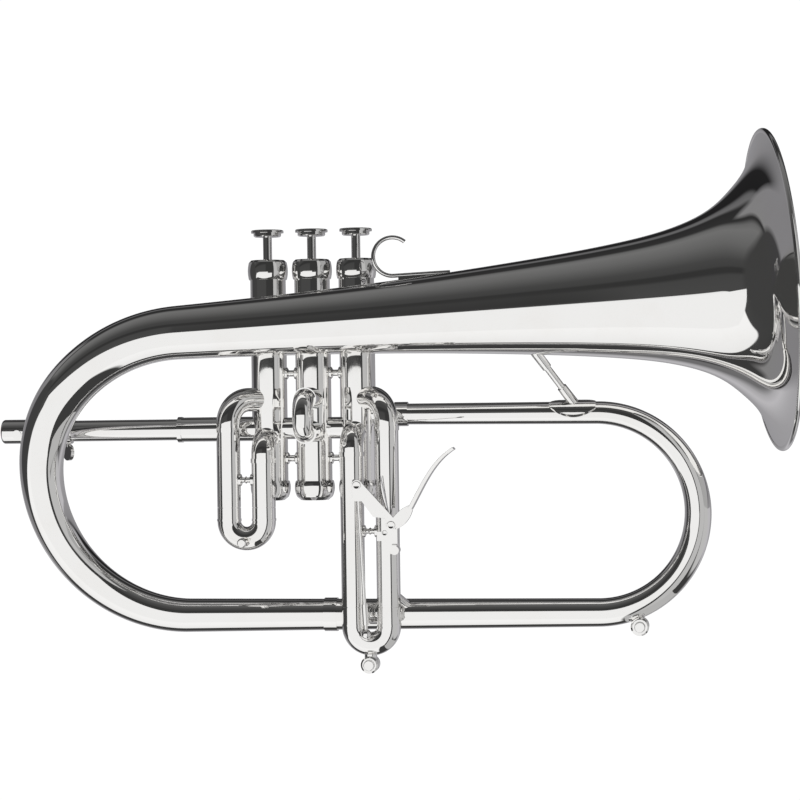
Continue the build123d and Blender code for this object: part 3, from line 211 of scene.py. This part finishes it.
# Bell bow: four arcs, given as (turn reached in degrees, radius of the arc in side view)
BOW_ARCS = [(48, 89.2), (90, 71.6), (135, 77.1), (180, 74.3)]
BOW_END_R = 9.15
BOW_STEP = 12
BOW_GROWTH = 0.94
BOW_ROWS = 200
LEG_END_X = 8.3
LEG_END_R = 8.45
LEG_ROWS = 12
# Right bow, half a turn from the upper tube down to the bottom tube
TURN_X = 153.0
TURN_TOP_Z = -19.1
TURN_BOTTOM_Z = -126.2
TURN_RADII = (6.05, 7.15, 7.65)
TURN_WALL = 0.6
TURN_ROWS = 120


class Nodes:
    """A node tree with short ways to add nodes and link them."""

    def __init__(self, tree):
        self.tree = tree
        tree.nodes.clear()

    def add(self, kind, **settings):
        node = self.tree.nodes.new(kind)
        for name, value in settings.items():
            setattr(node, name, value)
        return node

    def link(self, source, target):
        self.tree.links.new(source, target)

    def put(self, socket, value):
        if isinstance(value, bpy.types.NodeSocket):
            self.link(value, socket)
        else:
            socket.default_value = value

    def math(self, operation, a, b=0.0, clamp=False):
        node = self.add("ShaderNodeMath", operation=operation, use_clamp=clamp)
        self.put(node.inputs[0], a)
        self.put(node.inputs[1], b)
        return node.outputs[0]

    def vector(self, operation, a, b=(0.0, 0.0, 0.0)):
        node = self.add("ShaderNodeVectorMath", operation=operation)
        self.put(node.inputs[0], a)
        self.put(node.inputs[1], b)
        return node.outputs["Value" if operation == "LENGTH" else "Vector"]

    def blend(self, a, b, share):
        """Sum of two values, of which the first has the given share."""
        first = self.math("MULTIPLY", a, share)
        second = self.math("MULTIPLY", b, 1.0 - share)
        return self.math("ADD", first, second, clamp=True)

    def span(self, value, low, high, to_low=0.0, to_high=1.0, smooth=False):
        node = self.add("ShaderNodeMapRange", clamp=True)
        node.interpolation_type = "SMOOTHSTEP" if smooth else "LINEAR"
        self.put(node.inputs["Value"], value)
        self.put(node.inputs["From Min"], low)
        self.put(node.inputs["From Max"], high)
        self.put(node.inputs["To Min"], to_low)
        self.put(node.inputs["To Max"], to_high)
        return node.outputs["Result"]

    def mix(self, factor, a, b):
        node = self.add("ShaderNodeMix", data_type="RGBA")
        self.put(node.inputs["Factor"], factor)
        self.put(node.inputs["A"], a)
        self.put(node.inputs["B"], b)
        return node.outputs["Result"]

    def noise(self, place, scale, detail, roughness):
        node = self.add("ShaderNodeTexNoise")
        self.put(node.inputs["Vector"], place)
        node.inputs["Scale"].default_value = scale
        node.inputs["Detail"].default_value = detail
        node.inputs["Roughness"].default_value = roughness
        return node.outputs["Fac"]

    def surface(self, shader, height, distance):
        """Raises the shader's surface by a height and puts the shader on the material's output."""
        raised = self.add("ShaderNodeBump")
        self.put(raised.inputs["Strength"], 1.0)
        self.put(raised.inputs["Distance"], distance)
        self.link(height, raised.inputs["Height"])
        self.link(raised.outputs["Normal"], shader.inputs["Normal"])
        self.link(shader.outputs[0], self.add("ShaderNodeOutputMaterial").inputs[0])


def grey(value):
    return (value, value, value, 1.0)


def make_sky():
    """White to the camera; a dark room with a large low white panel to everything that reflects."""
    world = bpy.data.worlds.new("studio")
    bpy.context.scene.world = world
    world.use_nodes = True
    n = Nodes(world.node_tree)
    place = n.add("ShaderNodeTexCoord").outputs["Generated"]
    axes = n.add("ShaderNodeSeparateXYZ")
    n.link(place, axes.inputs[0])
    x, y, z = axes.outputs
    toward = n.math("MULTIPLY", y, -1.0)
    angle = n.math("MULTIPLY", n.math("ARCTAN2", z, toward), 180.0 / math.pi)
    lean = n.math("MINIMUM", n.math("MAXIMUM", x, -1.0), 1.0)
    side = n.math("MULTIPLY", n.math("ARCSINE", lean), 180.0 / math.pi)
    turn = n.span(angle, -180.0, 180.0)
    ramp = n.add("ShaderNodeValToRGB")
    n.link(turn, ramp.inputs[0])
    stops = ramp.color_ramp.elements
    stops[0].position, stops[0].color = 0.0, grey(SKY_STOPS[0][1])
    stops[1].position, stops[1].color = 1.0, grey(SKY_STOPS[-1][1])
    for degrees, value in SKY_STOPS[1:-1]:
        stops.new((degrees + 180.0) / 360.0).color = grey(value)
    # distance from the panel's rounded edge, in angle and latitude
    pair = n.add("ShaderNodeCombineXYZ")
    n.link(angle, pair.inputs[0])
    n.link(side, pair.inputs[1])
    centre = [0.5 * sum(PANEL_ANGLE), 0.5 * sum(PANEL_LATITUDE), 0.0]
    half = [0.5 * (high - low) for low, high in (PANEL_ANGLE, PANEL_LATITUDE)]
    fold = n.vector("ABSOLUTE", n.vector("SUBTRACT", pair.outputs[0], centre))
    beyond = n.vector("SUBTRACT", fold, (half[0] - PANEL_CORNER, half[1] - PANEL_CORNER, 0.0))
    length = n.vector("LENGTH", n.vector("MAXIMUM", beyond))
    panel = n.span(length, PANEL_CORNER - PANEL_EDGE, PANEL_CORNER, 1.0, 0.0, smooth=True)
    away = n.math("ABSOLUTE", n.math("ADD", angle, -PANEL_MIDDLE_ANGLE))
    drift = n.span(away, 0.0, PANEL_FADE_ANGLE, 1.0, PANEL_FADE, smooth=True)
    white = n.math("MULTIPLY", drift, PANEL_WHITE)
    shade = n.mix(panel, ramp.outputs[0], white)
    over = n.math("MULTIPLY", n.span(side, *SHADE_LATITUDE), n.span(angle, *SHADE_ANGLE))
    over = n.math("MULTIPLY", over, n.span(angle, *SHADE_TOP, 1.0, 0.0))
    shade = n.mix(over, shade, grey(SHADE_GREY))
    gap = n.math("MULTIPLY", n.span(angle, *GAP_LOW), n.span(angle, *GAP_TOP, 1.0, 0.0))
    shade = n.mix(n.math("MULTIPLY", gap, n.span(side, *GAP_LATITUDE)), shade, grey(GAP_GREY))
    end = n.math("MULTIPLY", n.span(side, *END_LATITUDE), n.span(angle, *END_TOP, 1.0, 0.0))
    shade = n.mix(end, shade, n.span(angle, *END_STEP, END_GREY, END_GREY_HIGH))
    behind = n.span(n.math("ABSOLUTE", angle), *LEFT_ANGLE)
    left = n.math("MULTIPLY", n.span(side, *LEFT_LATITUDE, 1.0, 0.0), behind)
    shade = n.mix(left, shade, grey(LEFT_GREY))
    shade = n.mix(n.span(side, *FAR_LATITUDE, 1.0, 0.0), shade, grey(FAR_GREY))
    tint = n.add("ShaderNodeMix", data_type="RGBA", blend_type="MULTIPLY")
    tint.inputs["Factor"].default_value = 1.0
    n.link(shade, tint.inputs["A"])
    back = n.span(n.math("ABSOLUTE", angle), *BEHIND_ANGLE)
    n.link(n.mix(back, grey(1.0), (*BEHIND_TINT, 1.0)), tint.inputs["B"])
    room = n.add("ShaderNodeBackground")
    n.link(tint.outputs["Result"], room.inputs["Color"])
    plain = n.add("ShaderNodeBackground")
    plain.inputs["Color"].default_value = grey(FLOOR_WHITE)
    path = n.add("ShaderNodeLightPath")
    choose = n.add("ShaderNodeMixShader")
    n.link(path.outputs["Is Camera Ray"], choose.inputs[0])
    n.link(room.outputs[0], choose.inputs[1])
    n.link(plain.outputs[0], choose.inputs[2])
    out = n.add("ShaderNodeOutputWorld")
    n.link(choose.outputs[0], out.inputs[0])


def make_quad(name, corners):
    mesh = bpy.data.meshes.new(name)
    mesh.from_pydata(corners, [], [tuple(range(len(corners)))])
    quad = bpy.data.objects.new(name, mesh)
    bpy.context.scene.collection.objects.link(quad)
    return quad


def new_material(name):
    material = bpy.data.materials.new(name)
    material.use_nodes = True
    return material, Nodes(material.node_tree)


def glow(name, value):
    """Plain light of one brightness, for the floor and the cards."""
    material, n = new_material(name)
    light = n.add("ShaderNodeEmission")
    light.inputs["Color"].default_value = grey(value)
    n.link(light.outputs[0], n.add("ShaderNodeOutputMaterial").inputs[0])
    return material


def make_stage():
    low = cad_low[2] - FLOOR_DROP
    corners = [(sx * FLOOR_HALF, sy * FLOOR_HALF, low) for sx, sy in ((-1, -1), (1, -1), (1, 1), (-1, 1))]
    floor = make_quad("floor", corners)
    floor.data.materials.append(glow("pale_floor", FLOOR_WHITE))
    floor.visible_glossy = False
    floor.visible_diffuse = False
    floor.visible_shadow = False
    for name, (x0, y0, z0), (x1, y1, z1), value in CARDS:
        corners = [(x0, y0, z0), (x1, y0, z0), (x1, y1, z1), (x0, y1, z1)]
        card = make_quad(name, [(x * MM, y * MM, z * MM) for x, y, z in corners])
        card.data.materials.append(glow(name, value))
        card.visible_camera = False
        card.visible_diffuse = False
        card.visible_shadow = False


def make_camera():
    data = bpy.data.cameras.new("camera")
    data.lens = CAMERA_LENS
    data.sensor_width = CAMERA_SENSOR
    data.clip_start = CAMERA_NEAR
    data.clip_end = CAMERA_FAR
    data.dof.use_dof = False
    camera = bpy.data.objects.new("camera", data)
    bpy.context.scene.collection.objects.link(camera)
    right = Vector((math.cos(CAMERA_YAW), math.sin(CAMERA_YAW), 0.0))
    ahead = Vector((-math.sin(CAMERA_YAW), math.cos(CAMERA_YAW), 0.0))
    up = Vector((0.0, 0.0, 1.0))
    turn = Matrix((right, up, -ahead)).transposed().to_4x4()
    camera.matrix_world = Matrix.Translation(CAMERA_PLACE) @ turn @ Matrix.Rotation(CAMERA_ROLL, 4, "Z")
    bpy.context.scene.camera = camera


def metal(name, colour, tarnish, rough, rough_spread, hairline, hair_axis, bump):
    """Polished metal: faint tarnish in colour, wiped smudges in roughness and fine hairlines in the bump."""
    material, n = new_material(name)
    shader = n.add("ShaderNodeBsdfPrincipled")
    shader.inputs["Metallic"].default_value = 1.0
    place = n.add("ShaderNodeTexCoord").outputs["Object"]
    cloud = n.span(n.noise(place, *CLOUD_NOISE), *CLOUD_SPAN, smooth=True)
    speck = n.span(n.noise(place, *SPECK_NOISE), *SPECK_SPAN, smooth=True)
    stain = n.blend(cloud, speck, CLOUD_SHARE)
    n.link(n.mix(stain, (*colour, 1.0), (*tarnish, 1.0)), shader.inputs["Base Color"])
    stretch = n.add("ShaderNodeMapping")
    n.link(place, stretch.inputs["Vector"])
    stretch.inputs["Scale"].default_value = hair_axis
    hair = n.noise(stretch.outputs[0], hairline, HAIR_DETAIL, HAIR_ROUGHNESS)
    smudge = n.span(n.noise(place, *SMUDGE_NOISE), *SMUDGE_SPAN, smooth=True)
    worn = n.blend(smudge, hair, SMUDGE_SHARE)
    n.link(n.span(worn, 0.0, 1.0, rough, rough + rough_spread), shader.inputs["Roughness"])
    n.surface(shader, hair, bump)
    return material


def cloth(name, dark, light):
    """Pressed felt: matted fibres in colour and bump."""
    material, n = new_material(name)
    shader = n.add("ShaderNodeBsdfPrincipled")
    place = n.add("ShaderNodeTexCoord").outputs["Object"]
    fibre = n.noise(place, *FIBRE_NOISE)
    clump = n.noise(place, *CLUMP_NOISE)
    mottle = n.blend(fibre, clump, FIBRE_SHARE)
    n.link(n.mix(mottle, (*dark, 1.0), (*light, 1.0)), shader.inputs["Base Color"])
    n.link(n.span(fibre, *FIBRE_SPAN, *FELT_ROUGH), shader.inputs["Roughness"])
    n.surface(shader, fibre, FELT_BUMP)
    return material


def make_piece(name, mesh_code, sharp_angle, body, replaced=None, matrix=Matrix()):
    """Object from mesh code, smooth but for its sharp edges, which may replace a CAD node."""
    mesh = bpy.data.meshes.new(name)
    mesh_code.to_mesh(mesh)
    mesh_code.free()
    mesh.shade_smooth()
    mesh.set_sharp_from_angle(angle=sharp_angle)
    piece = bpy.data.objects.new(name, mesh)
    piece.matrix_world = matrix
    bpy.context.scene.collection.objects.link(piece)
    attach(piece, body)
    if replaced:
        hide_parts(replaced)
    return piece


def smooth_curve(points, count):
    """Points spaced along a cubic spline through the given points, with knots by chord length."""
    points = np.array(points, float)
    steps = np.linalg.norm(np.diff(points, axis=0), axis=1)
    knots = np.concatenate(([0.0], np.cumsum(steps)))
    total = len(points)
    left, right = np.zeros((total, total)), np.zeros(points.shape)
    for k in range(1, total - 1):
        left[k, k - 1:k + 2] = (steps[k - 1], 2.0 * (steps[k - 1] + steps[k]), steps[k])
        right[k] = 6.0 * ((points[k + 1] - points[k]) / steps[k] - (points[k] - points[k - 1]) / steps[k - 1])
    left[0, :3] = (steps[1], -(steps[0] + steps[1]), steps[0])
    left[-1, -3:] = (steps[-1], -(steps[-1] + steps[-2]), steps[-2])
    bend = np.linalg.solve(left, right)
    result = []
    for place in np.linspace(0.0, knots[-1], count):
        k = min(int(np.searchsorted(knots, place, side="right")) - 1, total - 2)
        h, a, b = steps[k], knots[k + 1] - place, place - knots[k]
        result.append((bend[k] * a ** 3 + bend[k + 1] * b ** 3) / (6.0 * h)
                      + (points[k] / h - bend[k] * h / 6.0) * a
                      + (points[k + 1] / h - bend[k + 1] * h / 6.0) * b)
    return np.array(result)


def make_skin(name, rings, node, body):
    """Closed shell through a loop of rings (centre, heading, radius), in place of a CAD node."""
    mesh_code = bmesh.new()
    rows = []
    for centre, heading, radius in rings:
        heading = heading / np.linalg.norm(heading)
        across = np.array((0.0, 1.0, 0.0)) - heading * heading[1]
        across = across / np.linalg.norm(across)
        over = np.cross(heading, across)
        row = []
        for side in range(SIDES):
            turn = 2.0 * math.pi * side / SIDES
            outward = across * math.cos(turn) + over * math.sin(turn)
            row.append(mesh_code.verts.new((centre + radius * outward) * MM))
        rows.append(row)
    for row, following in zip(rows, rows[1:] + rows[:1]):
        for side in range(SIDES):
            beside = (side + 1) % SIDES
            mesh_code.faces.new((row[side], row[beside], following[beside], following[side]))
    bmesh.ops.recalc_face_normals(mesh_code, faces=mesh_code.faces)
    return make_piece(name, mesh_code, SHARP_ANGLE, body, replaced=node)


def make_eased(node, width):
    """Copy of a CAD node with its sharp edges eased, in place of it."""
    source = frame["nodes"][node]
    mesh_code = bmesh.new()
    mesh_code.from_mesh(source.data)
    bmesh.ops.remove_doubles(mesh_code, verts=mesh_code.verts, dist=WELD)
    bmesh.ops.dissolve_limit(mesh_code, angle_limit=FLAT_ANGLE, verts=mesh_code.verts, edges=mesh_code.edges)
    sharp = [edge for edge in mesh_code.edges
             if len(edge.link_faces) == 2 and edge.calc_face_angle(0.0) > EASE_ANGLE]
    bmesh.ops.bevel(mesh_code, geom=sharp, offset=width, offset_type="OFFSET", segments=EASE_STEPS,
                    profile=EASE_PROFILE, affect="EDGES", clamp_overlap=True)
    return make_piece(node + "_eased", mesh_code, EASE_SHARP_ANGLE, body_of(source)[0], replaced=node,
                      matrix=source.matrix_world)


def make_socket(name, place, radius, body):
    """Hollow head of a screw that faces the front, turned from its outline."""
    mesh_code = bmesh.new()
    rows = []
    for out, share in SOCKET_OUTLINE:
        row = []
        for k in range(SOCKET_SIDES if share else 1):
            turn = 2.0 * math.pi * k / SOCKET_SIDES
            x = place[0] + radius * share * math.cos(turn)
            z = place[2] + radius * share * math.sin(turn)
            row.append(mesh_code.verts.new((x * MM, (place[1] - out) * MM, z * MM)))
        rows.append(row)
    for row, following in zip(rows, rows[1:]):
        for k in range(SOCKET_SIDES):
            beside = (k + 1) % SOCKET_SIDES
            inward = [following[beside], following[k]] if len(following) > 1 else [following[0]]
            mesh_code.faces.new([row[k], row[beside], *inward])
    mesh_code.faces.new(rows[0])
    bmesh.ops.recalc_face_normals(mesh_code, faces=mesh_code.faces)
    return make_piece(name, mesh_code, SHARP_ANGLE, body)


def make_sockets():
    """Heads on the trigger's pivot screw, on the push rod's pin and on the bracket."""
    pivot_low, pivot_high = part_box("pivot_screw")
    rod_low, rod_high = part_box("push_rod")
    pivot = 0.5 * (pivot_low + pivot_high) / MM
    front = pivot_low.y / MM
    pin = (rod_low.x / MM + SCREW_R + PIN_INSET, rod_low.y / MM, rod_high.z / MM - SCREW_R - PIN_INSET)
    return [make_socket("pivot_socket", (pivot.x, front, pivot.z), SCREW_R, "horn"),
            make_socket("pin_socket", pin, SCREW_R, "trigger_rod"),
            make_socket("bracket_screw", SMALL_SCREW_PLACE, SMALL_SCREW_R, "horn")]


def make_bell():
    """Bell's shell about its straight axis: out from the mouth to the tail and back along the inside."""
    inner = [(back - BELL_LIP_WALL * max(0.0, 1.0 - back / BELL_LIP_DEPTH),
              radius - BELL_WALL * min(1.0, back / BELL_LIP_FADE)) for back, radius in BELL_OUTLINE]
    outside = smooth_curve(BELL_OUTLINE, BELL_ROWS)
    inside = smooth_curve(inner, BELL_ROWS)
    rings = [(BELL_MOUTH - BELL_DIRECTION * back, BELL_DIRECTION, radius)
             for back, radius in list(outside) + list(inside[::-1])]
    return make_skin("bell_skin", rings, "bell", "horn")


def bow_stations():
    """Centres and radii along the bell bow: arcs in side view that swing back to the bottom tube's plane."""
    start = math.atan(BELL_SLOPE_Z)
    tail = BELL_MOUTH - BELL_DIRECTION * BELL_LENGTH
    turns, places, turn, (x, z) = [start], [(tail[0], tail[2])], start, (tail[0], tail[2])
    for reached, radius in BOW_ARCS:
        steps = max(2, round((math.radians(reached) - turn) / math.radians(BOW_STEP)))
        for step in range(1, steps + 1):
            now = turn + (math.radians(reached) - turn) * step / steps
            places.append((x + radius * (math.sin(turn) - math.sin(now)),
                           z + radius * (math.cos(now) - math.cos(turn))))
            turns.append(now)
        turn = turns[-1]
        x, z = places[-1]
    swing = -BELL_SLOPE_Y * BOW_ARCS[0][1] * (math.pi - start)
    stations = []
    for (x, z), turn in zip(places, turns):
        t = (turn - start) / (math.pi - start)
        y = tail[1] * (2 * t ** 3 - 3 * t ** 2 + 1) + swing * (t ** 3 - 2 * t ** 2 + t)
        stations.append((x, y, z, BELL_TAIL_R + (BOW_END_R - BELL_TAIL_R) * t ** BOW_GROWTH))
    return stations


def make_bell_bow():
    """Shell of the bell bow and of its straight leg up to the ferrule on the bottom tube."""
    stations = bow_stations()
    curve = smooth_curve(stations, BOW_ROWS)
    end = curve[-1]
    leg_z = end[2] + (TURN_BOTTOM_Z - end[2]) * (LEG_END_X - end[0]) / (TURN_X - end[0])
    stop = np.array((LEG_END_X, 0.0, leg_z, LEG_END_R))
    leg = [end + (stop - end) * row / LEG_ROWS for row in range(1, LEG_ROWS + 1)]
    line = np.concatenate((curve, leg))
    headings = np.gradient(line[:, :3], axis=0)
    headings[0] = -BELL_DIRECTION
    headings[-1] = (1.0, 0.0, 0.0)
    outside = [(place[:3], heading, place[3] - SKIN_GAP) for place, heading in zip(line, headings)]
    inside = [(place[:3], heading, place[3] - BELL_WALL) for place, heading in zip(line, headings)]
    return make_skin("bell_bow_skin", outside + inside[::-1], "bell_bow", "horn")


def make_right_bow():
    """Shell of the right bow, whose bore grows from the upper to the bottom tube."""
    middle = 0.5 * (TURN_TOP_Z + TURN_BOTTOM_Z)
    sweep = 0.5 * (TURN_TOP_Z - TURN_BOTTOM_Z)
    outside, inside = [], []
    for row in range(TURN_ROWS + 1):
        turn = math.pi * row / TURN_ROWS
        place = np.array((TURN_X + sweep * math.sin(turn), 0.0, middle + sweep * math.cos(turn)))
        heading = np.array((math.cos(turn), 0.0, -math.sin(turn)))
        radius = float(np.interp(row / TURN_ROWS, (0.0, 0.5, 1.0), TURN_RADII))
        outside.append((place, heading, radius - SKIN_GAP))
        inside.append((place, heading, radius - TURN_WALL))
    return make_skin("right_bow_skin", outside + inside[::-1], "right_bow", "horn")


bpy.context.scene.view_settings.view_transform = "Standard"
bpy.context.scene.cycles.sample_clamp_indirect = 0.0

make_camera()
make_sky()
make_stage()

SILVER = metal("silver_plate", colour=(0.965, 0.958, 0.945), tarnish=(0.93, 0.915, 0.89), rough=0.018,
               rough_spread=0.035, hairline=900.0, hair_axis=(1.0, 0.08, 1.0), bump=0.0004 * MM)
MONEL = metal("monel", colour=(0.74, 0.72, 0.68), tarnish=(0.66, 0.63, 0.58), rough=0.10,
              rough_spread=0.10, hairline=1500.0, hair_axis=(1.0, 1.0, 0.05), bump=0.002 * MM)
STEEL = metal("spring_steel", colour=(0.62, 0.62, 0.64), tarnish=(0.50, 0.48, 0.46), rough=0.14,
              rough_spread=0.12, hairline=1500.0, hair_axis=(1.0, 1.0, 1.0), bump=0.002 * MM)
FELT = cloth("felt", dark=(0.02, 0.02, 0.022), light=(0.07, 0.07, 0.075))

for name, node in frame["nodes"].items():
    if name.startswith("piston"):
        finish = MONEL
    elif name.startswith("spring") or name == "trigger_spring":
        finish = STEEL
    elif name == "cap_felts":
        finish = FELT
    else:
        finish = SILVER
    node.data.materials.clear()
    node.data.materials.append(finish)

for piece in (make_bell(), make_bell_bow(), make_right_bow(), *make_sockets()):
    piece.data.materials.append(SILVER)
for name, width in EASED.items():
    make_eased(name, width).data.materials.append(SILVER)
